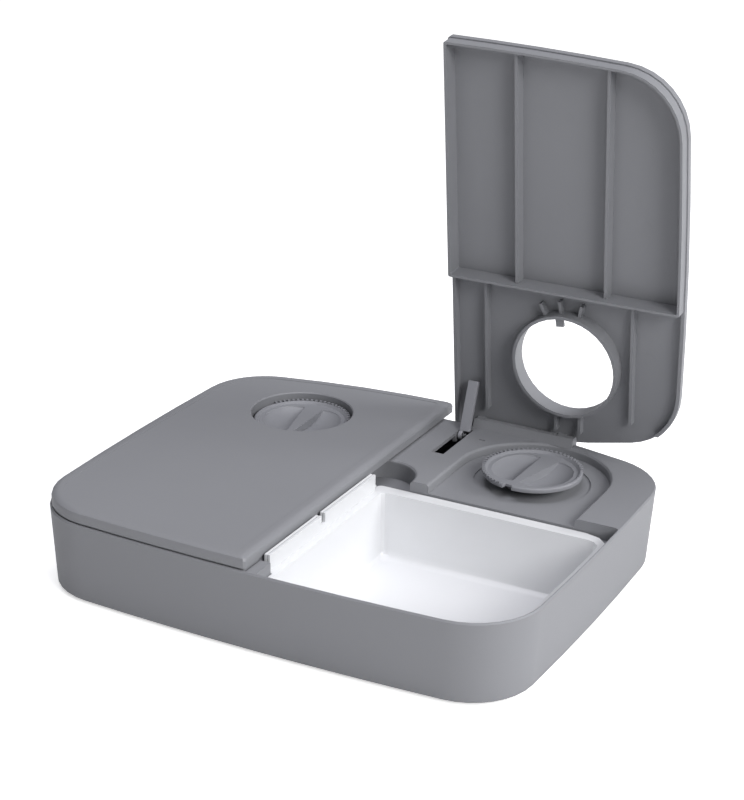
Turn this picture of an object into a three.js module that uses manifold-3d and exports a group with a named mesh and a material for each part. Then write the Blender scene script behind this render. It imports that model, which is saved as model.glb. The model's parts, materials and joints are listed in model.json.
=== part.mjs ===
// A two-meal automatic feeder: a tub with two lift-out bowls under two hinged lids. Behind each bowl a
// clockwork-style dial counts down, frees the catch of its lid, and a sprung lever throws the lid open.
// Millimetres, +Z up, +Y to the rear. The origin is on the ground, midway across the closed feeder.
import * as THREE from "three";
import { mergeVertices } from "three/addons/utils/BufferGeometryUtils.js";
import Module from "manifold-3d";

const wasm = await Module();
wasm.setup();

// Overall plan
const bodyWidth = 331;
const footprintDepth = 281;
const rearOverhang = 1.2;
const frontBowRadius = 2000;
const sideBowRadius = 2400;
const rearBowRadius = 520;
const frontCornerRadius = 44.5;
const rearCornerRadius = 46;
const widestY = 4;

// Heights and walls of the housing
const footDrop = 1.5;
const bodyHeight = 52.5;
const wall = 2.4;
const floorWall = 1.8;
const wallTaper = 3.2;
const bottomRound = 2.4;
const topRound = 0.9;
const cut = 2; // how far a cutting shape runs past what it cuts
const seat = 0.3; // gap between pieces that rest on each other
const lipWall = 1.4; // the wall above the ledge
const timerBayDepth = 117.5; // partition behind the bowls to the rear of the lids
const roomCorner = 3;
const openingLip = 1.4;
const recessDepth = 6;
const dialX = 85;
const dialDepthShare = 0.4255; // of the timer bay, from the partition
const ribHalf = 3.7;
const ribSlotHalf = 1.6;
const ledgeDrop = 10.2;
const ledgeWidth = 4;
const ledgeThickness = 2;
const noseHalf = 3.5; // block on the front wall between the two bowls
const noseDepth = 19;
const noseDrop = 0.5;

// Finger scoop in the middle behind the bowls, for lifting them out
const scoopRadius = 22;
const scoopFromPartition = 2;
const scoopBelowFlange = 3;
const deckRound = 2.5; // along the edges of what is sunk into the deck

// Slots in the deck
const deckSlotX = 33.7;
const deckSlotFromHinge = 23;
const deckSlotHalf = [2.3, 0.7];
const deckSlotDepth = 1.2;

// Bowls
const bowlWall = 2;
const bowlFlange = 2.4;
const bowlGap = 0.7;
const bowlHalfGap = 0.3;
const bowlEdgeX = 7.1; // where the hollow starts, from the middle
const bowlEdgeRear = 9.7; // and how far in front of the partition it ends
const bowlDraft = 4.6;
const bowlRearDraft = 8.2;
const bowlCorner = 5;
const bowlOuterCorner = 9; // beside the timer bay, at the outer wall
const flangeCorner = 20; // the same corner of the flange
const bowlFoot = 5;
const lipThickness = 1.6;
const lipHeight = 10.6;
const lipRearGap = 9;
const lipFrontGap = 2;
const lipSlotWidth = 4.8;
const lipSlotDepth = 6;
const lipSlotFromRear = 66.4;

// Lids
const lidGap = 1.2;
const lidHeight = 7.3;
const lidReveal = 1.2;
const lidHalfGap = 3.5; // lid edge to the middle plane
const lidWall = 2.3;
const skirtWall = 2.4;
const lidEdgeDrop = 2.8;
const lidEdgeRun = 4.6;
const lidCorner = 2;
const borderWidth = 8;
const borderDepth = 0.3;
const rimGap = 0.6; // sealing rim to the bowl's flange
const rimClear = 0.7;
const rimWall = 1.6;
const rimHalfGap = 4.3;
const rimRearGap = 2.2;
const rimCorner = 1.2;
const ribWall = 2;
const ribRise = 4.6;
const longRibX = [51.3, 112.3];
const rearRibX = [27.6, 129.7];
const rearRibFromHinge = [11.8, 21.8];
const holeRadius = 34.4;
const holeChamfer = 0.7;
const ringWall = 2.1;
const spokeLength = 8;
const spokeTurns = [-115, -97, -77].map(THREE.MathUtils.degToRad);
const ringRibX = [-7.6, 9.2]; // from the dial's axis
const ringClear = 2.2; // ring to the floor of the dial's recess
const tabWidth = 5.2;
const tabReach = 5.9;
const tabThickness = 2.2;
const tabClear = 0.5;
const catchTurn = THREE.MathUtils.degToRad(-97);
const skirtEndFromSide = 19.5;
const skirtEndFromHinge = 16.8;
const skirtEndRun = 8;
const weld = 0.4; // how far joined shapes run into each other

// Hinge
const hingeFromRear = 10.7;
const hingeBelowSkin = 3.6;
const barrelRadius = 3.1;
const hingePinRadius = 1.1;
const pinClear = 0.3;
const knuckleRadius = 2.3;
const knuckleWidth = 6;
const knuckleGap = 0.5;
const innerKnuckle = 19;
const outerKnuckle = 78;
const railEnd = 91;
const railRamp = 3.4;
const railFrontWall = 1.2;
const reliefReach = 2.2; // cut in front of the hinge line, for the lids' middle corners
const shelfDrop = 9;
const openAngle = THREE.MathUtils.degToRad(83);

// Levers that throw the lids open
const leverX = 17.3;
const leverWidth = 7;
const leverThickness = 3.4;
const leverReach = 37.5;
const leverFromHinge = 15.8;
const leverBelowDeck = 3;
const leverHubRadius = 3.2;
const leverHubWidth = 2.6;
const leverPinRadius = 1.4;
const leverSlotGap = 0.9;
const leverSlotEnd = 1.6;
const leverTipGap = 4.1;
const leverRatio = 1.325;
const earWall = 2.4;
const earHalf = 4;
const springWire = 0.35;
const springCoilRadius = 2.25;
const springTurns = 2.5;
const springPitch = 0.78;
const springLegLength = 7;
const springTail = 1.4;

// Dials
const dialRadius = 32.5;
const dialRim = 3;
const dialBodyRadius = 28;
const dialBaseRadius = 19;
const dialLift = 0.5;
const dishRadius = 38; // shallow round dish in the recess under the dial
const dishDepth = 0.8;
const dialBelowSkin = 2.7;
const dialRound = 1.6;
const dialBorder = 3.4;
const dialFaceDrop = 1.5;
const gripHalf = 4.4;
const gripTaper = THREE.MathUtils.degToRad(6);
const gripWide = 19;
const gripLong = 23.4;
const gripDeep = 7.2;
const gripApart = 8;
const notchWidth = 6.6;

// Timers under the dials
const spindleRadius = 3;
const spindleFit = 0.3;
const spindleInDial = 4;
const gearModule = 0.8;
const gearThickness = 2.4;
const gearAddendum = 0.62;
const gearDedendum = 0.8;
const pressureAngle = THREE.MathUtils.degToRad(25);
const driveTeeth = 36;
const idlerTeeth = 30;
const pinionTeeth = 10;
const backlash = 0.24;
const centreSlack = 0.06;
const levelGap = 0.5;
const idlerTurn = THREE.MathUtils.degToRad(200);
const rotorTurn = THREE.MathUtils.degToRad(110);
const axleRadius = 1.1;
const axleHub = 2.4;
const caseWall = 1.6;
const caseRoom = 12.4;
const caseReach = [34, 22, 18.5, 34]; // left, front, right and rear of the dial's axis
const caseCorner = 4;
const coilRadius = 5;
const coilLength = 14;
const coilCheek = 1.2;
const coilCore = 3.6;
const coilFromAxis = [20, 25];
const rotorRadius = 4;
const boardThickness = 1;
const boardHalf = [11, 6];

// Batteries, contacts and doors
const cellLength = 49.3;
const cellRadius = 7.1;
const buttonRadius = 2.7;
const buttonHeight = 1.2;
const cellFromSide = 30.5;
const cellDepthShare = 0.417; // of the timer bay, from the partition
const bayGap = 0.8;
const trayWall = 1.6;
const contactThickness = 0.4;
const contactHalf = 4.6;
const contactSpringRadius = 3.4;
const contactWire = 0.4;
const contactTurns = 3;
const contactSpringLength = 4;
const doorThickness = 1.6;
const doorGap = 0.4;
const doorLedge = 2.4;

// Bottom cover, screws and feet
const coverThickness = 3;
const coverGap = 0.4;
const bossRadius = 4;
const bossInnerX = 28;
const bossFromPartition = 13;
const bossFromRear = 42.5;
const bossFromCorner = [-6.3, 33.7]; // from the centre of the wall's rear corner
const screwRadius = 1.35;
const screwHole = 1.65;
const screwHead = 2.8;
const screwHeadHeight = 1.3;
const screwLength = 12;
const screwRecess = 0.6;
const footRadius = 8;
const footFit = 0.3;
const footRecess = 0.8;
const footFromSide = [43.5, 57.5];
const footFromEnd = [32.5, 48.5];

// Steps of the curves
const bowSteps = 4;
const cornerSteps = 8;
const filletSteps = 3;
const roundSteps = 36;
const pinSteps = 12;
const flankSteps = 1;
const wireSides = 4;
const wireTurnSteps = 8;

const plastic = new THREE.MeshStandardMaterial({ color: 0x85868b, roughness: 0.5, metalness: 0 });
const white = new THREE.MeshStandardMaterial({ color: 0xeff0f2, roughness: 0.2, metalness: 0 });
const inner = new THREE.MeshStandardMaterial({ color: 0x3a3b3e, roughness: 0.6, metalness: 0 });
const gearWhite = new THREE.MeshStandardMaterial({ color: 0xd8d6cc, roughness: 0.5, metalness: 0 });
const steel = new THREE.MeshStandardMaterial({ color: 0xb4b6b8, roughness: 0.3, metalness: 1 });
const copper = new THREE.MeshStandardMaterial({ color: 0xb06a3a, roughness: 0.4, metalness: 1 });
const rubber = new THREE.MeshStandardMaterial({ color: 0x2a2a2b, roughness: 0.9, metalness: 0 });
const cellSkin = new THREE.MeshStandardMaterial({ color: 0x4a5a52, roughness: 0.4, metalness: 0.2 });
const materialOf = (base) => base.clone();

// Levels and planes that follow from the sizes
const halfWidth = bodyWidth / 2;
const frontY = -footprintDepth / 2;
const lidRearY = footprintDepth / 2;
const rearY = lidRearY - rearOverhang;
const baseZ = footDrop;
const deckZ = baseZ + bodyHeight;
const deckUnderZ = deckZ - wall;
const partitionY = lidRearY - timerBayDepth;
const bayFrontY = partitionY + wall;
const floorZ = baseZ + floorWall;
const ledgeZ = deckZ - ledgeDrop;
const recessZ = deckZ - recessDepth;
const recessUnderZ = recessZ - wall;
const skirtZ = deckZ + lidGap;
const lidTopZ = skirtZ + lidHeight;
const skinZ = lidTopZ - lidWall;
const hingeY = lidRearY - hingeFromRear;
const hingeZ = skinZ - hingeBelowSkin;
const railFootY = hingeY - barrelRadius - railRamp;
const dialY = partitionY + dialDepthShare * timerBayDepth;
const recessRadius = railFootY - seat - dialY;
const dishZ = recessZ - dishDepth;
const panelZ = lidTopZ - borderDepth;
const railRearY = hingeY + barrelRadius;
const shelfZ = deckZ - shelfDrop;
const deckSlotY = hingeY - deckSlotFromHinge;
const leverY = hingeY - leverFromHinge;
const leverZ = deckZ - leverBelowDeck;
const flangeZ = ledgeZ + seat;
const bowlRimZ = flangeZ + bowlFlange;
const bowlBaseZ = floorZ + seat;
const scoopZ = flangeZ - scoopBelowFlange;
const noseRearY = frontY + noseDepth;
const rimZ = bowlRimZ + rimGap;
const rimRearY = partitionY - rimRearGap;
const dialTopZ = skinZ - dialBelowSkin;
const dialRimZ = dialTopZ - dialRim;
const dialBaseZ = recessZ - dishDepth + dialLift;
const tabZ = dialRimZ - tabClear - tabThickness;
const coverTopZ = baseZ + coverThickness;
const timerTopZ = recessUnderZ - seat;
const plateUnderZ = timerTopZ - caseWall;
const caseFloorZ = plateUnderZ - caseRoom;
const driveTopZ = plateUnderZ - levelGap;
const driveLowZ = driveTopZ - gearThickness;
const idlerTopZ = driveLowZ - levelGap;
const idlerLowZ = idlerTopZ - gearThickness;
const cellZ = baseZ + doorThickness + bayGap + cellRadius;
const cellX = halfWidth - cellFromSide;
const cellY = partitionY + cellDepthShare * timerBayDepth;
const cellFrontY = cellY - cellLength / 2;
const cellRearY = cellY + cellLength / 2;
const footPlaces = [
  [halfWidth - footFromSide[0], frontY + footFromEnd[0]],
  [halfWidth - footFromSide[1], lidRearY - footFromEnd[1]],
];

// Plan shapes

function arc(x, y, radius, from, to, steps) {
  const points = [];
  for (let i = 0; i <= steps; i += 1) {
    const angle = from + ((to - from) * i) / steps;
    points.push(new THREE.Vector2(x + radius * Math.cos(angle), y + radius * Math.sin(angle)));
  }
  return points;
}

// The centre of a circle that touches two larger ones from inside.
function cornerBetween(a, b, radius, side) {
  const ra = a.radius - radius;
  const rb = b.radius - radius;
  const dx = b.x - a.x;
  const dy = b.y - a.y;
  const apart = Math.hypot(dx, dy);
  const along = (ra * ra - rb * rb + apart * apart) / (2 * apart);
  const off = Math.sqrt(ra * ra - along * along) * side;
  const x = a.x + (along * dx - off * dy) / apart;
  const y = a.y + (along * dy + off * dx) / apart;
  return { x, y, radius };
}

// The bowed rectangle of the feeder, as five arcs a side: front, corner, side, corner, rear.
function planOf(half, front, rear, reveal) {
  const frontArc = { x: 0, y: front + frontBowRadius, radius: frontBowRadius };
  const sideArc = { x: half - sideBowRadius, y: widestY, radius: sideBowRadius };
  const rearArc = { x: 0, y: rear - rearBowRadius, radius: rearBowRadius };
  const frontCorner = cornerBetween(frontArc, sideArc, frontCornerRadius - reveal, 1);
  const rearCorner = cornerBetween(rearArc, sideArc, rearCornerRadius - reveal, -1);
  const toward = (from, to) => Math.atan2(to.y - from.y, to.x - from.x);
  return {
    frontArc,
    sideArc,
    rearArc,
    frontCorner,
    rearCorner,
    frontTurn: toward(frontArc, frontCorner),
    sideFrontTurn: toward(sideArc, frontCorner),
    sideRearTurn: toward(sideArc, rearCorner),
    rearTurn: toward(rearArc, rearCorner),
  };
}

const wallPlan = planOf(halfWidth, frontY, rearY, 0);
const bossPlaces = [
  [bossInnerX, partitionY + bossFromPartition],
  [bossInnerX, lidRearY - bossFromRear],
  [wallPlan.rearCorner.x + bossFromCorner[0], wallPlan.rearCorner.y + bossFromCorner[1]],
];
const lidPlan = planOf(halfWidth - lidReveal, frontY + lidReveal, lidRearY, lidReveal);

const inside = (circle, inset, from, to, steps) =>
  arc(circle.x, circle.y, circle.radius - inset, from, to, steps).slice(1);

// The whole outline, drawn in by an inset.
function wholeOutline(plan, inset) {
  const right = [
    ...arc(0, plan.frontArc.y, plan.frontArc.radius - inset, -Math.PI / 2, plan.frontTurn, bowSteps),
    ...inside(plan.frontCorner, inset, plan.frontTurn, plan.sideFrontTurn, cornerSteps),
    ...inside(plan.sideArc, inset, plan.sideFrontTurn, plan.sideRearTurn, bowSteps),
    ...inside(plan.rearCorner, inset, plan.sideRearTurn, plan.rearTurn, cornerSteps),
    ...inside(plan.rearArc, inset, plan.rearTurn, Math.PI / 2, bowSteps),
  ];
  const left = right
    .slice(1, -1)
    .reverse()
    .map((point) => new THREE.Vector2(-point.x, point.y));
  return [...right, ...left];
}

// The front of a half outline: the small corner beside the middle, the front, the side's near corner.
function halfFront(plan, x, inset, corner) {
  const radius = plan.frontArc.radius - inset;
  const cx = x + corner;
  const cy = plan.frontArc.y - Math.sqrt((radius - corner) ** 2 - cx ** 2);
  const turn = Math.atan2(cy - plan.frontArc.y, cx);
  return [
    ...arc(cx, cy, corner, -Math.PI, turn, filletSteps),
    ...arc(0, plan.frontArc.y, radius, turn, plan.frontTurn, bowSteps).slice(1),
    ...inside(plan.frontCorner, inset, plan.frontTurn, plan.sideFrontTurn, cornerSteps),
  ];
}

// One lid's outline: everything to the right of x.
function lidOutline(x, inset, corner) {
  const plan = lidPlan;
  const radius = plan.rearArc.radius - inset;
  const cx = x + corner;
  const cy = plan.rearArc.y + Math.sqrt((radius - corner) ** 2 - cx ** 2);
  const turn = Math.atan2(cy - plan.rearArc.y, cx);
  return [
    ...halfFront(plan, x, inset, corner),
    ...inside(plan.sideArc, inset, plan.sideFrontTurn, plan.sideRearTurn, bowSteps),
    ...inside(plan.rearCorner, inset, plan.sideRearTurn, plan.rearTurn, cornerSteps),
    ...arc(0, plan.rearArc.y, radius, plan.rearTurn, turn, bowSteps).slice(1),
    ...arc(cx, cy, corner, turn, Math.PI, filletSteps).slice(1),
  ];
}

// One bowl's outline: to the right of x and in front of y, with its own outer rear corner.
function bowlOutline(x, y, inset, corner, outerCorner = corner) {
  const plan = wallPlan;
  const radius = plan.sideArc.radius - inset;
  const cy = y - outerCorner;
  const cx = plan.sideArc.x + Math.sqrt((radius - outerCorner) ** 2 - (cy - plan.sideArc.y) ** 2);
  const turn = Math.atan2(cy - plan.sideArc.y, cx - plan.sideArc.x);
  return [
    ...halfFront(plan, x, inset, corner),
    ...inside(plan.sideArc, inset, plan.sideFrontTurn, turn, bowSteps),
    ...arc(cx, cy, outerCorner, turn, Math.PI / 2, filletSteps).slice(1),
    ...arc(x + corner, y - corner, corner, Math.PI / 2, Math.PI, filletSteps),
  ];
}

// Solids

// A closed surface through rings of equal count, lowest first, each with its own height.
function loft(rings) {
  const count = rings[0].points.length;
  const positions = [];
  const index = [];
  for (const ring of rings) {
    for (const point of ring.points) positions.push(point.x, point.y, ring.z);
  }
  for (let level = 0; level + 1 < rings.length; level += 1) {
    for (let i = 0; i < count; i += 1) {
      const a = level * count + i;
      const b = level * count + ((i + 1) % count);
      index.push(a, b, b + count, a, b + count, a + count);
    }
  }
  const last = (rings.length - 1) * count;
  for (const [a, b, c] of THREE.ShapeUtils.triangulateShape(rings[0].points, [])) {
    index.push(a, c, b);
  }
  for (const [a, b, c] of THREE.ShapeUtils.triangulateShape(rings[rings.length - 1].points, [])) {
    index.push(last + a, last + b, last + c);
  }
  const geometry = new THREE.BufferGeometry();
  geometry.setAttribute("position", new THREE.Float32BufferAttribute(positions, 3));
  geometry.setIndex(index);
  return solid(geometry);
}

// A geometry with its shared vertices merged and its faces pointing out, as a solid for cuts and joins.
function solid(geometry) {
  const bare = geometry.clone();
  for (const name of Object.keys(bare.attributes)) {
    if (name !== "position") bare.deleteAttribute(name);
  }
  const merged = mergeVertices(bare);
  const place = merged.attributes.position.array;
  const kept = [];
  const old = merged.index.array;
  let volume = 0;
  for (let i = 0; i < old.length; i += 3) {
    const [a, b, c] = [old[i], old[i + 1], old[i + 2]];
    if (a === b || b === c || a === c) continue;
    kept.push(a, b, c);
    const p = new THREE.Vector3().fromArray(place, a * 3);
    const q = new THREE.Vector3().fromArray(place, b * 3);
    const r = new THREE.Vector3().fromArray(place, c * 3);
    volume += p.dot(q.cross(r));
  }
  if (volume < 0) {
    for (let i = 0; i < kept.length; i += 3) [kept[i], kept[i + 1]] = [kept[i + 1], kept[i]];
  }
  return new wasm.Manifold(
    new wasm.Mesh({
      numProp: 3,
      vertProperties: new Float32Array(place),
      triVerts: new Uint32Array(kept),
    }),
  );
}

function prism(points, low, high) {
  const geometry = new THREE.ExtrudeGeometry(new THREE.Shape(points), {
    depth: high - low,
    bevelEnabled: false,
  });
  geometry.translate(0, 0, low);
  return solid(geometry);
}

function block(low, high) {
  const geometry = new THREE.BoxGeometry(high[0] - low[0], high[1] - low[1], high[2] - low[2]);
  geometry.translate((low[0] + high[0]) / 2, (low[1] + high[1]) / 2, (low[2] + high[2]) / 2);
  return solid(geometry);
}

// A round bar that stands on z between low and high.
function post(x, y, radius, low, high, steps = pinSteps) {
  const geometry = new THREE.CylinderGeometry(radius, radius, high - low, steps);
  geometry.rotateX(Math.PI / 2);
  geometry.translate(x, y, (low + high) / 2);
  return solid(geometry);
}

// A round bar along x.
function crossBar(y, z, radius, low, high, steps = pinSteps) {
  const geometry = new THREE.CylinderGeometry(radius, radius, high - low, steps);
  geometry.rotateZ(Math.PI / 2);
  geometry.translate((low + high) / 2, y, z);
  return solid(geometry);
}

// A profile in y and z, drawn out along x.
function rail(profile, low, high) {
  const geometry = new THREE.ExtrudeGeometry(new THREE.Shape(profile), {
    depth: high - low,
    bevelEnabled: false,
  });
  geometry.rotateX(Math.PI / 2);
  geometry.rotateZ(Math.PI / 2);
  geometry.translate(low, 0, 0);
  return solid(geometry);
}

function turned(profile, steps) {
  const geometry = new THREE.LatheGeometry(profile, steps);
  geometry.rotateX(Math.PI / 2);
  return solid(geometry);
}

const point = (x, y) => new THREE.Vector2(x, y);

function geometryOf(part) {
  const mesh = part.getMesh();
  const geometry = new THREE.BufferGeometry();
  geometry.setAttribute("position", new THREE.BufferAttribute(new Float32Array(mesh.vertProperties), 3));
  geometry.setIndex(new THREE.BufferAttribute(new Uint32Array(mesh.triVerts), 1));
  return geometry;
}

// The same shape on the other side of the middle plane.
function mirrored(geometry) {
  const copy = geometry.clone();
  copy.scale(-1, 1, 1);
  const index = copy.index.array;
  for (let i = 0; i < index.length; i += 3) [index[i], index[i + 1]] = [index[i + 1], index[i]];
  return copy;
}

// A wire of round section along points: one closed tube.
function wire(points, radius) {
  const curve = new THREE.CatmullRomCurve3(points);
  const section = new THREE.Shape(arc(0, 0, radius, 0, Math.PI * 2, wireSides).slice(1));
  const way = { steps: points.length * 2, extrudePath: curve, bevelEnabled: false };
  return solid(new THREE.ExtrudeGeometry(section, way));
}

// Housing

const taperAt = (z) => (wallTaper * (deckZ - z)) / bodyHeight;

function outerShell() {
  const rings = [];
  for (let i = 0; i <= filletSteps; i += 1) {
    const turn = (i / filletSteps) * (Math.PI / 2);
    const z = baseZ + bottomRound * (1 - Math.cos(turn));
    rings.push({ z, points: wholeOutline(wallPlan, taperAt(z) + bottomRound * (1 - Math.sin(turn))) });
  }
  rings.push({ z: deckZ - topRound, points: wholeOutline(wallPlan, 0) });
  rings.push({ z: deckZ, points: wholeOutline(wallPlan, topRound) });
  return loft(rings);
}

const mirrorPoints = (points) => points.map((p) => point(-p.x, p.y)).reverse();

// The room of one bowl: wide under the ledge, narrow through it, and shared with the other bowl above.
function bowlRoom(side) {
  const toSide = (points) => (side > 0 ? points : mirrorPoints(points));
  const under = ledgeZ - ledgeThickness;
  const low = toSide(bowlOutline(ribHalf, partitionY, wall + taperAt(floorZ), roomCorner));
  const high = toSide(bowlOutline(ribHalf, partitionY, wall + taperAt(under), roomCorner));
  const throat = bowlOutline(ribHalf, partitionY - ledgeWidth, wall + ledgeWidth, roomCorner);
  const upper = (z) =>
    toSide(bowlOutline(-2 * roomCorner, partitionY, lipWall + taperAt(z), roomCorner));
  return loft([
    { z: floorZ, points: low },
    { z: under, points: high },
  ])
    .add(prism(toSide(throat), under - cut, ledgeZ + cut))
    .add(
      loft([
        { z: ledgeZ, points: upper(ledgeZ) },
        { z: deckZ + cut, points: upper(deckZ + cut) },
      ]),
    );
}

// One dial recess: a round end behind straight sides, open to the front.
function recessPlan(side, grow) {
  const radius = recessRadius + grow;
  const right = [
    point(dialX - radius, partitionY - cut),
    point(dialX + radius, partitionY - cut),
    ...arc(dialX, dialY, radius, 0, Math.PI, roundSteps / 2),
  ];
  return side > 0 ? right : mirrorPoints(right);
}

// A half-round pocket behind both bowls.
function scoopPlan(grow) {
  const radius = scoopRadius + grow;
  return [
    point(-radius, partitionY - cut),
    point(radius, partitionY - cut),
    ...arc(0, partitionY + scoopFromPartition, radius, 0, Math.PI, roundSteps / 2),
  ];
}

// What is sunk into the deck, with its upper edge rounded.
function sunk(planAt, floor) {
  const rings = [];
  for (let i = 0; i <= filletSteps; i += 1) {
    const turn = (i / filletSteps) * (Math.PI / 2);
    const z = deckZ - deckRound * (1 - Math.sin(turn));
    rings.push({ z, points: planAt(deckRound * (1 - Math.cos(turn))) });
  }
  rings.push({ z: deckZ + cut, points: planAt(deckRound) });
  return prism(planAt(0), floor, deckZ).add(loft(rings));
}

const bothSides = (make) => make(1).add(make(-1));
const across = (side, a, b) => (side > 0 ? [a, b] : [-b, -a]);

function sideBlock(side, xs, ys, zs) {
  const [low, high] = across(side, xs[0], xs[1]);
  return block([low, ys[0], zs[0]], [high, ys[1], zs[1]]);
}

function sideBar(side, y, z, radius, from, to, steps) {
  const [low, high] = across(side, from, to);
  return crossBar(y, z, radius, low, high, steps);
}

const leverHalf = leverWidth / 2;
const earFace = leverHalf + leverSlotGap;
const farY = lidRearY + cut;
const reliefX = innerKnuckle - knuckleGap;
const reliefY = hingeY - reliefReach;
const knuckleRoom = knuckleRadius + knuckleGap;

function bay() {
  const insetUnder = wall + taperAt(coverTopZ);
  const behind = block([-bodyWidth, bayFrontY, -cut], [bodyWidth, farY, lidTopZ]);
  const opening = wallTaper + bottomRound + openingLip;
  const room = loft([
    { z: coverTopZ + seat, points: wholeOutline(wallPlan, insetUnder) },
    { z: deckUnderZ, points: wholeOutline(wallPlan, wall + topRound) },
  ])
    .add(prism(wholeOutline(wallPlan, opening), baseZ - cut, coverTopZ + seat + weld))
    .intersect(behind);
  const shelf = block(
    [-bodyWidth, railRearY - wall, shelfZ - wall],
    [bodyWidth, farY, deckZ],
  );
  const relief = block(
    [-reliefX - wall, reliefY - wall, shelfZ - wall],
    [reliefX + wall, farY, deckZ],
  );
  const scoopRoom = prism(scoopPlan(wall), scoopZ - wall, deckZ);
  const kept = bothSides((side) => {
    const earX = [leverX - earFace - earWall, leverX + earFace + earWall];
    const earY = [leverY - earHalf, leverY + earHalf];
    return prism(recessPlan(side, wall), recessUnderZ, deckZ).add(
      sideBlock(side, earX, earY, [leverZ - earHalf, deckZ]),
    );
  });
  const bosses = bothSides((side) =>
    bossPlaces
      .map(([x, y]) => post(side * x, y, bossRadius, coverTopZ + seat, deckZ))
      .reduce((all, one) => all.add(one)),
  );
  return room.subtract(shelf).subtract(relief).subtract(scoopRoom).subtract(kept).subtract(bosses);
}

function hingeRail(side) {
  const topZ = hingeZ + barrelRadius;
  const profile = [
    point(railFootY, deckZ - wall),
    point(railRearY, deckZ - wall),
    point(railRearY, hingeZ),
    point(hingeY, topZ),
    point(hingeY - knuckleRoom - railFrontWall, topZ),
    point(railFootY, deckZ),
  ];
  const [low, high] = across(side, innerKnuckle, railEnd);
  return rail(profile, low, high).add(crossBar(hingeY, hingeZ, barrelRadius, low, high, pinSteps));
}

// What is cut from the housing on one side once its walls stand.
function housingCuts(side) {
  const pinHole = hingePinRadius + pinClear;
  let all = post(side * dialX, dialY, spindleRadius + spindleFit, recessUnderZ - cut, deckZ, pinSteps);
  all = all.add(sideBar(side, hingeY, hingeZ, pinHole, innerKnuckle - cut, railEnd - wall));
  for (const x of [innerKnuckle, outerKnuckle]) {
    const from = x - (x === innerKnuckle ? cut : knuckleGap);
    const xs = [from, x + knuckleWidth + knuckleGap];
    all = all.add(sideBlock(side, xs, [hingeY - knuckleRoom, farY], [hingeZ - knuckleRoom, lidTopZ]));
  }
  const slotX = [leverX - earFace, leverX + earFace];
  const slotY = [leverY - leverReach - leverTipGap, leverY + earHalf + leverSlotEnd];
  all = all.add(sideBlock(side, slotX, slotY, [leverZ - earHalf - cut, deckZ + cut]));
  const [half, deep] = deckSlotHalf;
  const markX = [deckSlotX - half, deckSlotX + half];
  const markY = [deckSlotY - deep, deckSlotY + deep];
  all = all.add(sideBlock(side, markX, markY, [deckZ - deckSlotDepth, deckZ + cut]));
  const pinEnd = earFace + earWall + cut;
  const pinRoom = leverPinRadius + pinClear;
  all = all.add(sideBar(side, leverY, leverZ, pinRoom, leverX - pinEnd, leverX + pinEnd));
  const holeTopZ = baseZ + screwRecess + screwLength + cut;
  for (const [x, y] of bossPlaces) {
    all = all.add(post(side * x, y, screwHole, baseZ - cut, holeTopZ, pinSteps));
  }
  const [x, y] = footPlaces[0];
  const footTopZ = baseZ + footRecess;
  return all.add(post(side * x, y, footRadius + footFit, baseZ - cut, footTopZ, roundSteps / 2));
}

function housing() {
  const ribSlot = [frontY + wall + noseDepth, partitionY];
  const nose = block(
    [-noseHalf, frontY + wall / 2, ledgeZ - wall],
    [noseHalf, noseRearY, deckZ - noseDrop],
  );
  return outerShell()
    .subtract(bothSides(bowlRoom))
    .subtract(bay())
    .subtract(block([-ribSlotHalf, ribSlot[0], -cut], [ribSlotHalf, ribSlot[1], ledgeZ - wall]))
    .subtract(bothSides((side) => sunk((grow) => recessPlan(side, grow), recessZ)))
    .subtract(bothSides((side) => post(side * dialX, dialY, dishRadius, dishZ, deckZ, roundSteps)))
    .subtract(sunk(scoopPlan, scoopZ))
    .add(nose)
    .add(bothSides(hingeRail))
    .subtract(block([-bodyWidth, railRearY, shelfZ], [bodyWidth, farY, lidTopZ]))
    .subtract(block([-reliefX, reliefY, shelfZ], [reliefX, farY, lidTopZ]))
    .subtract(bothSides(housingCuts));
}

// Bowls

function bowlRings(offset, low, high) {
  const rings = [];
  const at = (z, extra) => {
    const share = (flangeZ - z) / (flangeZ - bowlBaseZ);
    const grow = offset + bowlDraft * share + extra;
    return {
      z,
      points: bowlOutline(
        bowlEdgeX - bowlWall + grow,
        partitionY - bowlEdgeRear + bowlWall - offset - bowlRearDraft * share - extra,
        wall + ledgeWidth + bowlGap + grow,
        bowlCorner,
        bowlOuterCorner,
      ),
    };
  };
  for (let i = 0; i <= filletSteps; i += 1) {
    const turn = (i / filletSteps) * (Math.PI / 2);
    rings.push(at(low + bowlFoot * (1 - Math.cos(turn)), bowlFoot * (1 - Math.sin(turn))));
  }
  rings.push(at(high, 0));
  return loft(rings);
}

function bowl() {
  const flange = prism(
    bowlOutline(
      bowlHalfGap,
      partitionY - bowlGap,
      lipWall + taperAt(ledgeZ) + bowlGap,
      bowlCorner - bowlWall,
      flangeCorner,
    ),
    flangeZ,
    bowlRimZ,
  );
  const lipRear = partitionY - lipRearGap;
  const slot = lipRear - lipSlotFromRear;
  const lipTop = bowlRimZ + lipHeight;
  const lip = block(
    [bowlHalfGap, noseRearY + lipFrontGap, flangeZ],
    [bowlHalfGap + lipThickness, lipRear, lipTop],
  ).subtract(block([-cut, slot - lipSlotWidth, lipTop - lipSlotDepth], [bowlEdgeX, slot, lipTop + cut]));
  const nose = noseHalf + bowlGap;
  return bowlRings(0, bowlBaseZ, flangeZ + weld)
    .add(flange)
    .add(lip)
    .subtract(block([-nose, frontY, flangeZ - cut], [nose, noseRearY + bowlGap, lipTop]))
    .subtract(bowlRings(bowlWall, bowlBaseZ + bowlWall, bowlRimZ + cut));
}

// Lids

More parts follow.
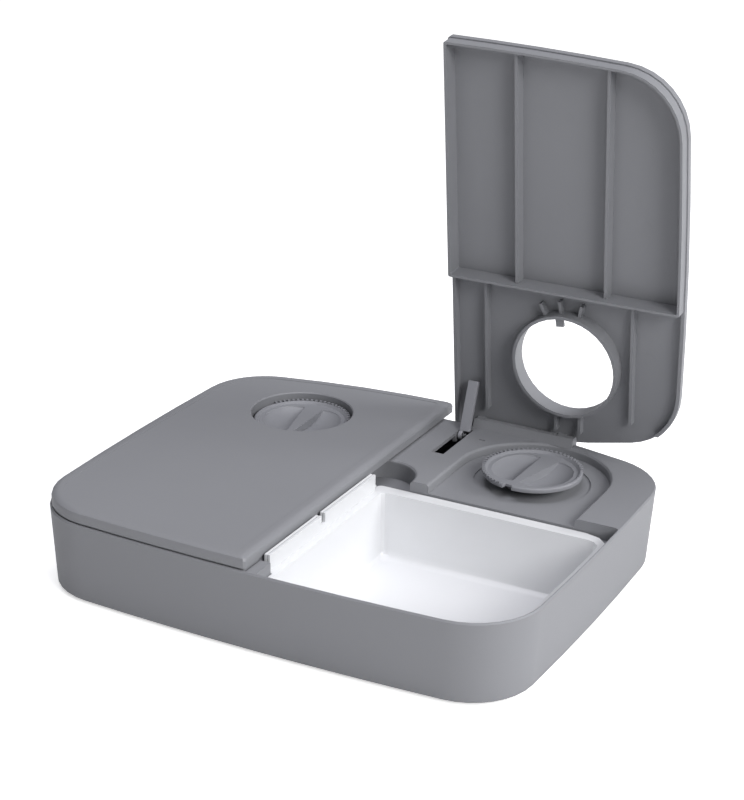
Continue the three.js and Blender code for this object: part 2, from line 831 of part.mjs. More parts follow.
// A flat bar that points away from a centre.
function radial(x, y, turn, width, from, to, low, high) {
  const corners = [
    [from, -width / 2],
    [to, -width / 2],
    [to, width / 2],
    [from, width / 2],
  ];
  const points = corners.map(([along, aside]) =>
    point(
      x + along * Math.cos(turn) - aside * Math.sin(turn),
      y + along * Math.sin(turn) + aside * Math.cos(turn),
    ),
  );
  return prism(points, low, high);
}

const lidPlanAt = (inset) => lidOutline(lidHalfGap + inset, inset, lidCorner);
const rimPlanAt = (inset) =>
  bowlOutline(rimHalfGap + inset, rimRearY - inset, lipWall + rimClear + inset, rimCorner);

function lidShell() {
  const rings = [{ z: skirtZ, points: lidPlanAt(0) }];
  for (let i = 0; i <= filletSteps; i += 1) {
    const turn = (i / filletSteps) * (Math.PI / 2);
    const z = lidTopZ - lidEdgeDrop * (1 - Math.sin(turn));
    rings.push({ z, points: lidPlanAt(lidEdgeRun * (1 - Math.cos(turn))) });
  }
  const clearY = hingeY - skirtEndFromHinge;
  const clearX = reliefX - seat;
  const clearedTo = (endX) => [
    point(clearX, clearY),
    point(endX, clearY),
    point(endX, farY),
    point(clearX, farY),
  ];
  const skirtEndX = halfWidth - skirtEndFromSide;
  const cleared = loft([
    { z: skirtZ - cut, points: clearedTo(skirtEndX + skirtEndRun) },
    { z: skinZ, points: clearedTo(skirtEndX) },
  ]);
  return loft(rings)
    .subtract(prism(lidPlanAt(skirtWall), skirtZ - cut, skinZ))
    .subtract(prism(lidPlanAt(borderWidth), panelZ, lidTopZ + cut))
    .subtract(cleared);
}

// The ribs under the lid: two between the compartments, two behind the rim, and those about the hole.
function lidRibs() {
  const under = skinZ + weld;
  const bar = (x, low, high, z) =>
    block([x - ribWall / 2, low, z], [x + ribWall / 2, high, under]);
  const long = longRibX.map((x) =>
    bar(x, frontY, rimRearY, rimZ + ribRise).intersect(prism(rimPlanAt(rimWall / 2), rimZ, lidTopZ)),
  );
  const rear = rearRibX.map((x, i) =>
    bar(x, rimRearY - rimWall, hingeY - rearRibFromHinge[i], skirtZ),
  );
  const ringRear = ringRibX.map((x) => bar(dialX + x, dialY + holeRadius, railFootY - seat, skirtZ));
  const spokeEnd = holeRadius + ringWall + spokeLength;
  const spokes = spokeTurns.map((turn) =>
    radial(dialX, dialY, turn, ribWall, holeRadius + weld, spokeEnd, skirtZ, under),
  );
  return [...long, ...rear, ...ringRear, ...spokes].reduce((all, one) => all.add(one));
}

// The tab on the ring that the dial's rim holds down until its notch comes round.
function catchTab() {
  const outer = holeRadius + ringWall;
  const inner = holeRadius - tabReach;
  return radial(dialX, dialY, catchTurn, tabWidth, inner, outer, tabZ, tabZ + tabThickness);
}

function lid() {
  const ringZ = recessZ + ringClear;
  const rim = prism(rimPlanAt(0), rimZ, skinZ + weld).subtract(
    prism(rimPlanAt(rimWall), rimZ - cut, skinZ + cut),
  );
  const chamfer = new THREE.CylinderGeometry(
    holeRadius + 2 * holeChamfer,
    holeRadius,
    2 * holeChamfer,
    roundSteps,
  );
  chamfer.rotateX(Math.PI / 2);
  chamfer.translate(dialX, dialY, panelZ);
  let body = lidShell()
    .add(rim)
    .add(lidRibs())
    .add(post(dialX, dialY, holeRadius + ringWall, ringZ, skinZ + weld, roundSteps))
    .subtract(post(dialX, dialY, holeRadius, ringZ - cut, lidTopZ + cut, roundSteps))
    .subtract(solid(chamfer))
    .add(catchTab());
  for (const x of [innerKnuckle, outerKnuckle]) {
    body = body.add(crossBar(hingeY, hingeZ, knuckleRadius, x, x + knuckleWidth, pinSteps)).add(
      block(
        [x, hingeY - knuckleRadius, hingeZ],
        [x + knuckleWidth, hingeY + knuckleRadius, skinZ + weld],
      ),
    );
  }
  const pinHole = hingePinRadius + pinClear;
  const holeEnd = outerKnuckle + knuckleWidth + cut;
  return body.subtract(crossBar(hingeY, hingeZ, pinHole, innerKnuckle - cut, holeEnd, pinSteps));
}

// Dials, with the notch and grip bar pointing at the catch of a closed lid.
function dial() {
  const rim = dialTopZ - dialRound;
  const profile = [
    point(0, dialBaseZ),
    point(dialBaseRadius, dialBaseZ),
    point(dialBodyRadius, dialRimZ),
    point(dialRadius, dialRimZ),
    ...arc(dialRadius - dialRound, rim, dialRound, 0, Math.PI / 2, filletSteps),
    point(dialRadius - dialBorder + dialFaceDrop, dialTopZ),
    point(dialRadius - dialBorder, dialTopZ - dialFaceDrop),
    point(0, dialTopZ - dialFaceDrop),
  ];
  const body = turned(profile, roundSteps);
  const pockets = bothSides((side) => {
    const hollow = new THREE.SphereGeometry(1, roundSteps / 2, roundSteps / 4);
    hollow.scale(gripLong, gripWide, gripDeep);
    hollow.translate(0, side * gripApart, dialTopZ);
    return solid(hollow);
  });
  const near = gripHalf - dialRadius * Math.tan(gripTaper);
  const far = gripHalf + dialRadius * Math.tan(gripTaper);
  const grip = prism(
    [
      point(-dialRadius, -far),
      point(dialRadius, -near),
      point(dialRadius, near),
      point(-dialRadius, far),
    ],
    dialBaseZ,
    dialTopZ - dialFaceDrop,
  );
  const bore = post(0, 0, spindleRadius + spindleFit, dialBaseZ - cut, dialBaseZ + spindleInDial, pinSteps);
  const notch = block(
    [dialBodyRadius, -notchWidth / 2, dialBaseZ],
    [dialRadius + cut, notchWidth / 2, dialTopZ + cut],
  );
  const part = body.subtract(pockets.subtract(grip)).subtract(notch).subtract(bore);
  const geometry = geometryOf(part);
  geometry.rotateZ(catchTurn);
  geometry.translate(dialX, dialY, 0);
  return geometry;
}

// Timers

function gearPlan(teeth, turn) {
  const pitch = (teeth * gearModule) / 2;
  const base = pitch * Math.cos(pressureAngle);
  const root = pitch - gearDedendum;
  const tip = pitch + gearAddendum;
  const involute = (radius) => {
    const lean = Math.acos(Math.min(1, base / radius));
    return Math.tan(lean) - lean;
  };
  const half = (Math.PI * gearModule) / 2 - backlash;
  const lowest = Math.max(base, root);
  const flank = [];
  for (let i = 0; i <= flankSteps; i += 1) {
    const radius = lowest + ((tip - lowest) * i) / flankSteps;
    flank.push([radius, half / (2 * pitch) + involute(pitch) - involute(radius)]);
  }
  if (root < base) flank.unshift([root, flank[0][1]]);
  const points = [];
  for (let tooth = 0; tooth < teeth; tooth += 1) {
    const middle = turn + (tooth / teeth) * Math.PI * 2;
    for (const [radius, aside] of flank) {
      points.push(point(radius * Math.cos(middle - aside), radius * Math.sin(middle - aside)));
    }
    for (const [radius, aside] of [...flank].reverse()) {
      points.push(point(radius * Math.cos(middle + aside), radius * Math.sin(middle + aside)));
    }
  }
  return points;
}

function gear(x, y, teeth, turn, low, high) {
  const points = gearPlan(teeth, turn).map((p) => point(p.x + x, p.y + y));
  return prism(points, low, high);
}

// The turn that sets the second gear's gap on the first gear's tooth, along the line between them.
function meshTurn(line, firstTurn, firstTeeth, secondTeeth) {
  const pitch = Math.PI * gearModule;
  const firstRadius = (firstTeeth * gearModule) / 2;
  const secondRadius = (secondTeeth * gearModule) / 2;
  const first = firstRadius * (firstTurn - line);
  return line + Math.PI - (first - pitch / 2) / secondRadius;
}

const driveSpan = ((driveTeeth + pinionTeeth) * gearModule) / 2 + centreSlack;
const idlerSpan = ((idlerTeeth + pinionTeeth) * gearModule) / 2 + centreSlack;
const idlerX = dialX + driveSpan * Math.cos(idlerTurn);
const idlerY = dialY + driveSpan * Math.sin(idlerTurn);
const rotorX = idlerX + idlerSpan * Math.cos(rotorTurn);
const rotorY = idlerY + idlerSpan * Math.sin(rotorTurn);
const idlerPhase = meshTurn(idlerTurn, 0, driveTeeth, pinionTeeth);
const rotorPhase = meshTurn(rotorTurn, idlerPhase, idlerTeeth, pinionTeeth);
const axleLow = caseFloorZ - caseWall;
const axleHigh = timerTopZ - seat;

function spindle() {
  const topZ = dialBaseZ + spindleInDial - seat;
  return post(dialX, dialY, spindleRadius, caseFloorZ + seat, topZ, pinSteps).add(
    gear(dialX, dialY, driveTeeth, 0, driveLowZ, driveTopZ),
  );
}

function idler() {
  return post(idlerX, idlerY, axleRadius, axleLow, axleHigh, pinSteps)
    .add(post(idlerX, idlerY, axleHub, idlerTopZ - weld, driveLowZ + weld, pinSteps))
    .add(gear(idlerX, idlerY, pinionTeeth, idlerPhase, driveLowZ, driveTopZ))
    .add(gear(idlerX, idlerY, idlerTeeth, idlerPhase, idlerLowZ, idlerTopZ));
}

function rotor() {
  return post(rotorX, rotorY, axleRadius, axleLow, axleHigh, pinSteps)
    .add(post(rotorX, rotorY, rotorRadius, caseFloorZ + levelGap, idlerLowZ - levelGap, pinSteps))
    .add(gear(rotorX, rotorY, pinionTeeth, rotorPhase, idlerLowZ - levelGap - weld, idlerTopZ));
}

function casePlan(inset) {
  const [left, front, right, rear] = caseReach.map((reach) => reach - inset);
  const corner = caseCorner - inset;
  const spots = [
    [dialX + right - corner, dialY - front + corner],
    [dialX + right - corner, dialY + rear - corner],
    [dialX - left + corner, dialY + rear - corner],
    [dialX - left + corner, dialY - front + corner],
  ];
  return spots.flatMap(([x, y], i) => {
    const from = ((i - 1) * Math.PI) / 2;
    return arc(x, y, corner, from, from + Math.PI / 2, filletSteps);
  });
}

function axleHoles(radius) {
  return post(idlerX, idlerY, radius, axleLow - cut, timerTopZ + cut, pinSteps).add(
    post(rotorX, rotorY, radius, axleLow - cut, timerTopZ + cut, pinSteps),
  );
}

function timerCase() {
  return prism(casePlan(0), axleLow, plateUnderZ - seat)
    .subtract(prism(casePlan(caseWall), caseFloorZ, timerTopZ))
    .subtract(axleHoles(axleRadius + spindleFit));
}

function timerCover() {
  return prism(casePlan(0), plateUnderZ, timerTopZ)
    .subtract(axleHoles(axleRadius + spindleFit))
    .subtract(post(dialX, dialY, spindleRadius + spindleFit, axleLow, deckZ, pinSteps));
}

const coilX = dialX - coilFromAxis[0];
const coilY = dialY + coilFromAxis[1];
const boardTopZ = caseFloorZ + seat + boardThickness;
const coilZ = boardTopZ + seat + coilRadius;

function coil() {
  const ends = coilLength / 2;
  return crossBar(coilY, coilZ, coilCore, coilX - ends, coilX + ends, pinSteps)
    .add(crossBar(coilY, coilZ, coilRadius, coilX - ends, coilX - ends + coilCheek, pinSteps))
    .add(crossBar(coilY, coilZ, coilRadius, coilX + ends - coilCheek, coilX + ends, pinSteps));
}

function board() {
  return block(
    [coilX - boardHalf[0], coilY - boardHalf[1], caseFloorZ + seat],
    [coilX + boardHalf[0], coilY + boardHalf[1], boardTopZ],
  );
}

// Levers

function lever() {
  const inner = leverX - leverHalf;
  const pinRoom = leverPinRadius + pinClear;
  const arm = block(
    [inner, leverY - leverReach, leverZ - leverThickness / 2],
    [inner + leverWidth, leverY - leverHubRadius, leverZ + leverThickness / 2],
  );
  const neck = block(
    [inner, leverY - leverHubRadius - cut, leverZ - leverThickness / 2],
    [inner + leverHubWidth, leverY, leverZ + leverThickness / 2],
  );
  return arm
    .add(neck)
    .add(crossBar(leverY, leverZ, leverHubRadius, inner, inner + leverHubWidth, pinSteps))
    .subtract(crossBar(leverY, leverZ, pinRoom, inner - cut, inner + leverHubWidth + cut, pinSteps));
}

function leverPin() {
  const half = earFace + earWall;
  return crossBar(leverY, leverZ, leverPinRadius, leverX - half, leverX + half, pinSteps);
}

function leverSpring() {
  const start = leverX - leverHalf + leverHubWidth + springWire + seat;
  const points = [];
  const last = springTurns * wireTurnSteps;
  for (let i = 0; i <= last; i += 1) {
    const turn = (i / wireTurnSteps) * Math.PI * 2;
    points.push(
      new THREE.Vector3(
        start + (springPitch * i) / wireTurnSteps,
        leverY + springCoilRadius * Math.sin(turn),
        leverZ - springCoilRadius * Math.cos(turn),
      ),
    );
  }
  const end = points[points.length - 1];
  const legs = [1, 2, 3].map((i) => (i * springLegLength) / 3);
  const before = legs.map((leg) => new THREE.Vector3(start, leverY - leg, points[0].z)).reverse();
  const tail = new THREE.Vector3(end.x, leverY - springTail, end.z);
  return wire([...before, ...points, tail], springWire);
}

// Batteries

function lengthBar(x, z, radius, low, high, steps) {
  const geometry = new THREE.CylinderGeometry(radius, radius, high - low, steps);
  geometry.translate(x, (low + high) / 2, z);
  return solid(geometry);
}

function cell() {
  return lengthBar(cellX, cellZ, cellRadius, cellFrontY, cellRearY, roundSteps / 2).add(
    lengthBar(cellX, cellZ, buttonRadius, cellRearY - weld, cellRearY + buttonHeight, pinSteps),
  );
}

const springFaceY = cellFrontY - seat - contactSpringLength;
const trayFrontY = springFaceY - contactThickness - seat;
const plateFaceY = cellRearY + buttonHeight + seat;
const trayRearY = plateFaceY + contactThickness + seat;
const trayHalf = cellRadius + bayGap;
const trayTopZ = cellZ + trayHalf;

function contactPlate(low) {
  return block(
    [cellX - contactHalf, low, cellZ - contactHalf],
    [cellX + contactHalf, low + contactThickness, cellZ + contactHalf],
  );
}

function contactSpring() {
  const points = [];
  const last = contactTurns * wireTurnSteps;
  for (let i = 0; i <= last; i += 1) {
    const turn = (i / wireTurnSteps) * Math.PI * 2;
    points.push(
      new THREE.Vector3(
        cellX + contactSpringRadius * Math.cos(turn),
        springFaceY + contactWire / 2 + ((contactSpringLength - 2 * contactWire) * i) / last,
        cellZ + contactSpringRadius * Math.sin(turn),
      ),
    );
  }
  return contactPlate(springFaceY - contactThickness).add(wire(points, contactWire));
}

function doorPlan(grow) {
  const aside = trayHalf + doorLedge + grow;
  const front = trayFrontY - doorLedge - grow;
  const rear = trayRearY + doorLedge + grow;
  return [
    point(cellX - aside, front),
    point(cellX + aside, front),
    point(cellX + aside, rear),
    point(cellX - aside, rear),
  ];
}

const batteryDoor = () => prism(doorPlan(0), baseZ, baseZ + doorThickness);

// Bottom cover

function bottomCover() {
  const inset = wallTaper + bottomRound + openingLip + coverGap;
  let body = prism(wholeOutline(wallPlan, inset), baseZ, coverTopZ).intersect(
    block([-bodyWidth, bayFrontY + coverGap, 0], [bodyWidth, farY, deckZ]),
  );
  const outer = trayHalf + trayWall;
  const outerY = [trayFrontY - trayWall, trayRearY + trayWall];
  body = body.add(
    bothSides((side) =>
      sideBlock(side, [cellX - outer, cellX + outer], outerY, [baseZ, trayTopZ + trayWall]),
    ),
  );
  const cuts = bothSides((side) => {
    const doorPoints = side > 0 ? doorPlan(doorGap) : mirrorPoints(doorPlan(doorGap));
    const trayX = [cellX - trayHalf, cellX + trayHalf];
    const headTopZ = baseZ + screwRecess + screwHeadHeight;
    let all = sideBlock(side, trayX, [trayFrontY, trayRearY], [baseZ - cut, trayTopZ]);
    all = all.add(prism(doorPoints, baseZ - cut, baseZ + doorThickness + seat));
    for (const [x, y] of bossPlaces) {
      all = all
        .add(post(side * x, y, screwHole, baseZ - cut, coverTopZ + cut, pinSteps))
        .add(post(side * x, y, screwHead + seat, baseZ - cut, headTopZ, pinSteps));
    }
    const [x, y] = footPlaces[1];
    const footTopZ = baseZ + footRecess;
    return all.add(post(side * x, y, footRadius + footFit, baseZ - cut, footTopZ, roundSteps / 2));
  });
  return body.subtract(cuts);
}

function screw(x, y) {
  const head = baseZ + screwRecess;
  return post(x, y, screwRadius, head + screwHeadHeight - weld, head + screwLength, pinSteps).add(
    post(x, y, screwHead, head - seat, head + screwHeadHeight - seat, pinSteps),
  );
}

const foot = ([x, y]) => post(x, y, footRadius, 0, baseZ + footRecess - seat, roundSteps / 2);

// The pieces, placed. The right lid stands open with its lever up, the left one is closed.

function turnedOpen(geometry, y, z, angle) {
  const copy = geometry.clone();
  copy.translate(0, -y, -z);
  copy.rotateX(-angle);
  copy.translate(0, y, z);
  return copy;
}

const group = new THREE.Group();
group.name = "two_meal_feeder";

function place(name, geometry, base) {
  geometry.computeVertexNormals();
  const mesh = new THREE.Mesh(geometry, materialOf(base));
  mesh.name = name;
  group.add(mesh);
}

function placePair(name, right, base, left = right) {
  place(`${name}_right`, right.clone(), base);
  place(`${name}_left`, mirrored(left), base);
}

place("housing", geometryOf(housing()), plastic);
place("bottom_cover", geometryOf(bottomCover()), plastic);
placePair("bowl", geometryOf(bowl()), white);
const lidShape = geometryOf(lid());
placePair("lid", turnedOpen(lidShape, hingeY, hingeZ, openAngle), plastic, lidShape);
placePair("dial", dial(), plastic);
placePair("dial_spindle", geometryOf(spindle()), gearWhite);
placePair("timer_idler", geometryOf(idler()), gearWhite);
placePair("motor_rotor", geometryOf(rotor()), gearWhite);
placePair("motor_coil", geometryOf(coil()), copper);
placePair("timer_board", geometryOf(board()), inner);
placePair("timer_case", geometryOf(timerCase()), inner);
placePair("timer_cover", geometryOf(timerCover()), inner);
const leverShape = geometryOf(lever());
placePair("lever", turnedOpen(leverShape, leverY, leverZ, openAngle * leverRatio), plastic, leverShape);
placePair("lever_pin", geometryOf(leverPin()), steel);
placePair("lever_spring", geometryOf(leverSpring()), steel);
const pin = crossBar(hingeY, hingeZ, hingePinRadius, innerKnuckle + seat, railEnd - wall - seat, pinSteps);
placePair("hinge_pin", geometryOf(pin), steel);
placePair("battery", geometryOf(cell()), cellSkin);
placePair("battery_plate", geometryOf(contactPlate(plateFaceY)), steel);
placePair("battery_spring", geometryOf(contactSpring()), steel);
placePair("battery_door", geometryOf(batteryDoor()), plastic);
bossPlaces.forEach(([x, y], i) => placePair(`cover_screw_${i + 1}`, geometryOf(screw(x, y)), steel));
["front", "rear"].forEach((end, i) => placePair(`foot_${end}`, geometryOf(foot(footPlaces[i])), rubber));

export default group;
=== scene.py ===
"""A two-meal automatic feeder, photographed on a pale floor.

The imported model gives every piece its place. This script gives each one its edges, its finish and
the small detail that shows, in the order in which the feeder is put together.
"""
import json
import math

import bmesh
import bpy
from mathutils import Color, Matrix, Vector


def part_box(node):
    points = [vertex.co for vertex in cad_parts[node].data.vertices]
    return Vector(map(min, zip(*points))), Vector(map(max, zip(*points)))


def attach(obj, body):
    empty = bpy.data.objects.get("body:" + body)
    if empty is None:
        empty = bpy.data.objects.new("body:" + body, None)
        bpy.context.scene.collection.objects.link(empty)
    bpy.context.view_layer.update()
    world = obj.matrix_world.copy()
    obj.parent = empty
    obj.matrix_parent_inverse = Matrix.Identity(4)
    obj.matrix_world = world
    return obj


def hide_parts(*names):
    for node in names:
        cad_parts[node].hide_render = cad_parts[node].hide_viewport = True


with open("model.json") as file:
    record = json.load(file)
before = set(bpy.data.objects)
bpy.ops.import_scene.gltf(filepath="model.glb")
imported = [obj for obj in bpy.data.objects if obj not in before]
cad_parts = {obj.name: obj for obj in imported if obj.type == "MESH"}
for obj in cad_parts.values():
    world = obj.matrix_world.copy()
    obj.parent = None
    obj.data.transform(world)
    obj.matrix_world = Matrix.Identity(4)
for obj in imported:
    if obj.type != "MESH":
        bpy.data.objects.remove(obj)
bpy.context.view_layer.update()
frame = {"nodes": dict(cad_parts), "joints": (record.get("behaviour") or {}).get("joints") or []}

# The camera stands a little over a metre away, to the right of the middle and above the lids, with
# a long lens. It is rolled a little over a degree, as the photograph is.
millimetre = 0.001
camera_azimuth = math.radians(26.778)
camera_elevation = math.radians(21.962)
camera_roll = math.radians(1.3636)
camera_distance = 1223.25 * millimetre
camera_target = Vector((32.38, -39.906, 129.804)) * millimetre
camera_near = 50 * millimetre
camera_far = 20000 * millimetre
photo_width = 744
photo_height = 800
focal_pixels = 2057.5
centre_pixel = (381.897, 405.299)
sensor_size = 36

backward = Vector(
    (
        math.sin(camera_azimuth) * math.cos(camera_elevation),
        -math.cos(camera_azimuth) * math.cos(camera_elevation),
        math.sin(camera_elevation),
    )
)
level_right = Vector((math.cos(camera_azimuth), math.sin(camera_azimuth), 0))
level_up = backward.cross(level_right)
right = math.cos(camera_roll) * level_right + math.sin(camera_roll) * level_up
up = math.cos(camera_roll) * level_up - math.sin(camera_roll) * level_right
camera = bpy.data.objects.new("camera", bpy.data.cameras.new("camera"))
camera.data.sensor_width = sensor_size
camera.data.lens = focal_pixels / photo_height * sensor_size
camera.data.shift_x = (photo_width / 2 - centre_pixel[0]) / photo_height
camera.data.shift_y = (centre_pixel[1] - photo_height / 2) / photo_height
camera.data.clip_start = camera_near
camera.data.clip_end = camera_far
turn = Matrix((right, up, backward)).transposed().to_4x4()
camera.matrix_world = Matrix.Translation(camera_target + backward * camera_distance) @ turn
bpy.context.scene.collection.objects.link(camera)
bpy.context.scene.camera = camera
bpy.context.scene.view_settings.view_transform = "Standard"

# The housing is one grey moulding with a fine satin grain: a tub for the bowls, and behind them a
# deck that carries the dials, the levers and the hinge rail. Its edges are broken by the mould,
# each as far as the faces beside it allow.
grey = 0x87888C
satin_grain = 0.5 * millimetre
satin_depth = 0.02 * millimetre
housing_edge = 0.55 * millimetre
sides = ("right", "left")


# A Term is one number, colour or vector of a finish, so that shader maths is written as a sum.
class Term:
    def __init__(self, shading, socket):
        self.shading = shading
        self.socket = socket

    def math(self, operation, first, second):
        return self.shading.node("Math", {"operation": operation}, {0: first, 1: second}).out(0)

    def __add__(self, other):
        return self.math("ADD", self, other)

    def __radd__(self, other):
        return self.math("ADD", other, self)

    def __sub__(self, other):
        return self.math("SUBTRACT", self, other)

    def __rsub__(self, other):
        return self.math("SUBTRACT", other, self)

    def __mul__(self, other):
        return self.math("MULTIPLY", self, other)

    def __rmul__(self, other):
        return self.math("MULTIPLY", other, self)

    def above(self, edge):
        return self.math("GREATER_THAN", self, edge)

    def ramp(self, low, high):
        settings = {"interpolation_type": "SMOOTHSTEP"}
        sockets = {"Value": self, "From Min": low, "From Max": high}
        return self.shading.node("MapRange", settings, sockets).out("Result")


class Node:
    def __init__(self, shading, node):
        self.shading = shading
        self.node = node

    def out(self, name):
        return Term(self.shading, self.node.outputs[name])


# A Shading is a tree of shader nodes, and every node in it comes from its one method.
class Shading:
    def __init__(self, tree):
        self.tree = tree
        self.tree.nodes.clear()

    def node(self, kind, settings=None, sockets=None):
        made = self.tree.nodes.new("ShaderNode" + kind)
        for name, setting in (settings or {}).items():
            setattr(made, name, setting)
        for name, given in (sockets or {}).items():
            if isinstance(given, Term):
                self.tree.links.new(given.socket, made.inputs[name])
            else:
                made.inputs[name].default_value = given
        return Node(self, made)


# A Finish is one material, with the nodes that vary it over the piece.
class Finish(Shading):
    def __init__(self, name):
        self.material = bpy.data.materials.new(name)
        self.material.use_nodes = True
        super().__init__(self.material.node_tree)
        self.shader = self.node("BsdfPrincipled")
        self.node("OutputMaterial", {}, {"Surface": self.shader.out("BSDF")})
        self.place = self.node("TexCoord").out("Object")

    def set(self, **sockets):
        for name, given in sockets.items():
            socket = self.shader.node.inputs[name.replace("_", " ").title().replace("Ior", "IOR")]
            if isinstance(given, Term):
                self.tree.links.new(given.socket, socket)
            else:
                socket.default_value = given

    def noise(self, size, detail=2.0, stretch=None):
        place = self.place
        if stretch:
            place = self.node("Mapping", {}, {"Vector": place, "Scale": stretch}).out("Vector")
        sockets = {"Vector": place, "Scale": 1 / size, "Detail": detail}
        return self.node("TexNoise", {}, sockets).out("Fac")

    # On a Mix node the two colours are inputs 6 and 7, and the mixed colour is output 2.
    def mix(self, share, first, second):
        sockets = {0: share, 6: first, 7: second}
        return self.node("Mix", {"data_type": "RGBA"}, sockets).out(2)

    def bump(self, height, depth):
        return self.node("Bump", {}, {"Height": height, "Distance": depth}).out("Normal")


def colour(code, level=1.0):
    written = Color([channel / 255 for channel in code.to_bytes(3, "big")])
    linear = written.from_srgb_to_scene_linear()
    return (*[min(1.0, channel * level) for channel in linear], 1.0)


noise_middle = 0.5
cloud_size = 70 * millimetre
flow_size = 18 * millimetre
flow_detail = 3.0
flow_stretch = (0.35, 1, 1)
flow_share = 0.3
grain_detail = 1.5
tone_spread = 0.1
grain_spread = 0.12


def around(level, noise, spread):
    return level + (noise - noise_middle) * spread


def moulded(name, code, roughness, grain, depth, unevenness=0.03):
    finish = Finish(name)
    cloud = finish.noise(cloud_size)
    fine = finish.noise(grain, grain_detail)
    flow = finish.noise(flow_size, flow_detail, flow_stretch)
    tone = cloud * (1 - flow_share) + flow * flow_share
    finish.set(
        base_color=finish.mix(tone, colour(code, 1 - unevenness), colour(code, 1 + unevenness)),
        roughness=around(around(roughness, tone, tone_spread), fine, grain_spread),
        normal=finish.bump(fine, depth),
    )
    return finish


# Facets that lie flat beside each other become one face, and an edge is rounded where its faces
# turn by more than the crease, over at most a share of the edges that it meets.
weld = 0.002 * millimetre
flat_limit = math.radians(0.4)
crease = math.radians(26)
smooth_limit = math.radians(38)
edge_share = 0.4
edge_steps = 2


def edge_widths(work, radius):
    weights = work.edges.layers.float.new("bevel_weight_edge")
    for edge in work.edges:
        if len(edge.link_faces) != 2 or edge.calc_face_angle(0) < crease:
            continue
        beside = [
            corner.edge.calc_length()
            for loop in edge.link_loops
            for corner in (loop.link_loop_prev, loop.link_loop_next)
        ]
        edge[weights] = min(1, min(beside) * edge_share / radius)


def new_object(name, mesh):
    made = bpy.data.objects.new(name, mesh)
    bpy.context.scene.collection.objects.link(made)
    return made


def as_mesh(made):
    bpy.context.view_layer.update()
    evaluated = made.evaluated_get(bpy.context.evaluated_depsgraph_get())
    plain = bpy.data.meshes.new_from_object(evaluated)
    made.modifiers.clear()
    made.data = plain
    return plain


def finished(made, finish, body):
    made.data.materials.clear()
    made.data.materials.append(finish.material)
    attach(made, body)


def softened(node, finish, body, radius, cutter=None):
    mesh = frame["nodes"][node].data.copy()
    mesh.name = node + "_shape"
    work = bmesh.new()
    work.from_mesh(mesh)
    bmesh.ops.remove_doubles(work, verts=work.verts, dist=weld)
    bmesh.ops.dissolve_limit(
        work, angle_limit=flat_limit, verts=work.verts, edges=work.edges, delimit=set()
    )
    edge_widths(work, radius)
    work.to_mesh(mesh)
    work.free()
    made = new_object(mesh.name, mesh)
    if cutter:
        cutting = made.modifiers.new("cut", "BOOLEAN")
        cutting.object = cutter
        cutting.solver = "EXACT"
    bevel = made.modifiers.new("edges", "BEVEL")
    bevel.width = radius
    bevel.segments = edge_steps
    bevel.limit_method = "WEIGHT"
    bevel.miter_outer = "MITER_ARC"
    as_mesh(made).set_sharp_from_angle(angle=smooth_limit)
    made.modifiers.new("shading", "WEIGHTED_NORMAL").keep_sharp = True
    as_mesh(made)
    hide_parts(node)
    finished(made, finish, body)


body_finish = moulded(
    "satin_grey_body", grey, roughness=0.5, grain=satin_grain, depth=satin_depth
)
softened("housing", body_finish, "base", housing_edge)

# The bottom cover closes the timer bay from below. Three zinc-plated screws a side hold it, each
# with a cross recess, and the feet are soft rubber.
cover_grey = 0x7E7F85
cover_grain = 0.6 * millimetre
cover_depth = 0.03 * millimetre
cover_edge = 0.3 * millimetre
screw_edge = 0.15 * millimetre
foot_edge = 0.4 * millimetre
cover_finish = moulded(
    "grey_cover", cover_grey, roughness=0.55, grain=cover_grain, depth=cover_depth
)
softened("bottom_cover", cover_finish, "base", cover_edge)

drawn_detail = 4.0
drawn_dark = 0.88
drawn_bright = 1.08
drawn_spread = 0.2
drawn_depth = 0.01 * millimetre


def metal(name, code, roughness, streak, stretch):
    finish = Finish(name)
    drawn = finish.noise(streak, drawn_detail, stretch)
    finish.set(
        base_color=finish.mix(drawn, colour(code, drawn_dark), colour(code, drawn_bright)),
        metallic=1.0,
        roughness=around(roughness, drawn, drawn_spread),
        normal=finish.bump(drawn, drawn_depth),
    )
    return finish


def cross_mesh(foot, long, wide, tall):
    outline = []
    for along, aside in ((1, 0), (0, 1), (-1, 0), (0, -1)):
        outward = Vector((along, aside, 0))
        across = Vector((-aside, along, 0)) * wide
        tip = foot + outward * long
        outline += [tip - across, tip + across, foot + across + outward * wide]
    rise = Vector((0, 0, tall))
    work = bmesh.new()
    lower = [work.verts.new(place) for place in outline]
    upper = [work.verts.new(place + rise) for place in outline]
    work.faces.new(lower[::-1])
    work.faces.new(upper)
    for i in range(len(outline)):
        work.faces.new((lower[i - 1], lower[i], upper[i], upper[i - 1]))
    mesh = bpy.data.meshes.new("cross")
    work.to_mesh(mesh)
    work.free()
    return mesh


zinc = metal(
    "zinc_plated_screws",
    0xB9BABC,
    roughness=0.32,
    streak=0.8 * millimetre,
    stretch=(1, 1, 0.2),
)
cross_long = 1.7 * millimetre
cross_wide = 0.42 * millimetre
cross_deep = 0.8 * millimetre
for side in sides:
    for number in ("1", "2", "3"):
        node = "cover_screw_" + number + "_" + side
        low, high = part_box(node)
        middle = (low + high) / 2
        foot = Vector((middle.x, middle.y, low.z - cross_deep))
        cutter = new_object("cross", cross_mesh(foot, cross_long, cross_wide, 2 * cross_deep))
        softened(node, zinc, "base", screw_edge, cutter)
        bpy.data.objects.remove(cutter)

